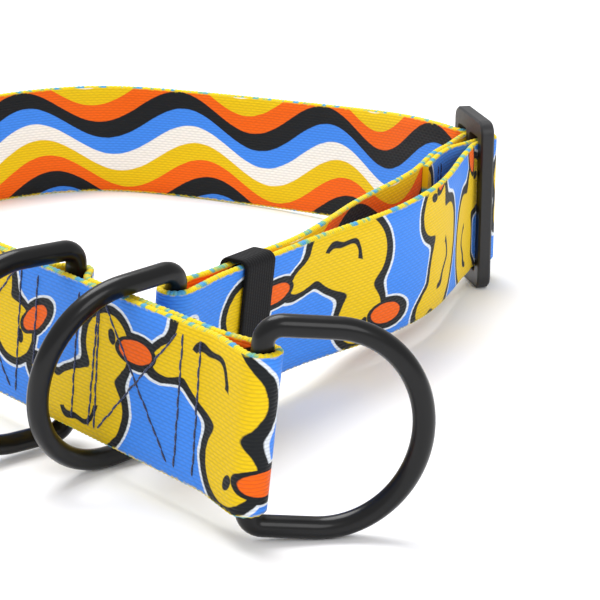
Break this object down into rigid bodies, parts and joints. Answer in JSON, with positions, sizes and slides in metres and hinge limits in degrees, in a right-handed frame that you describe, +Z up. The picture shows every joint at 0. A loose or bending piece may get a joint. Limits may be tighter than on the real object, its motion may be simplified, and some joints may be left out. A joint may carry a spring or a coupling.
{
  "type": "martingale dog collar",
  "caption": "Limited-slip martingale dog collar in wide printed webbing with three black D-rings, a triglide slider and an elastic keeper.",
  "frame": {"origin": "bottom centre of the bounding box, on the ground inside the neck opening", "axes": "+Z up, -Y to the front, where the tongue and leash ring are, +X to the slider's side"},
  "size_m": [0.1972, 0.3015, 0.0529],
  "materials": {
    "webbing": "printed polyester webbing",
    "rings": "gloss black",
    "slider": "satin black",
    "elastic": "knitted elastic",
    "thread": "twisted polyester"
  },
  "bodies": {
    "neck": {"neck_band": "webbing", "slider_weave": "webbing", "slider_wrap": "webbing", "slider": "slider"},
    "adjuster": {"slide_ring_fold": "webbing", "adjuster_outer_layer": "webbing", "adjuster_inner_layer": "webbing", "sewn_flap": "webbing", "flap_stitching": "thread"},
    "slide_ring": {"slide_ring": "rings"},
    "keeper": {"keeper": "elastic", "keeper_stitching": "thread"},
    "tongue": {"tongue_front_layer": "webbing", "tongue_back_layer": "webbing", "leash_ring_fold": "webbing", "end_stitching": "thread", "front_cross_stitching": "thread", "pocket_stitching": "thread", "rear_stitching": "thread"},
    "leash_ring": {"leash_ring": "rings"},
    "stop_ring": {"stop_ring": "rings"}
  },
  "joints": [
    {"name": "adjuster_swing", "type": "hinge", "parent": "neck", "child": "adjuster", "pos_m": [0.08523, 0.03156, 0.0255], "axis": [0, 0, 1], "range_deg": [-3, 7]},
    {"name": "tongue_swing", "type": "hinge", "parent": "neck", "child": "tongue", "pos_m": [-0.04918, -0.05179, 0.025], "axis": [0, 0, 1], "range_deg": [-1.5, 3.5]},
    {"name": "leash_ring_swing", "type": "hinge", "parent": "tongue", "child": "leash_ring", "pos_m": [0.0305, -0.145, 0.02715], "axis": [0.0992, -0.0794, 0.9919], "range_deg": [-95, 34]},
    {"name": "stop_ring_swing", "type": "hinge", "parent": "tongue", "child": "stop_ring", "pos_m": [-0.01407, -0.08829, 0.0266], "axis": [0.0992, -0.0794, 0.9919], "range_deg": [-56, 3]},
    {"name": "slide_ring_swing", "type": "hinge", "parent": "adjuster", "child": "slide_ring", "pos_m": [0.01, -0.0975, 0.0264], "axis": [0.0963, -0.2505, 0.9633], "range_deg": [-4, 1.5]},
    {"name": "keeper_slide", "type": "slide", "parent": "adjuster", "child": "keeper", "axis": [0.5878, 0.809, 0], "range_m": [-0.006, 0.011]}
  ],
  "couplings": [
    {"joint": "tongue_swing", "follows": "adjuster_swing", "ratio": 0.5}
  ]
}
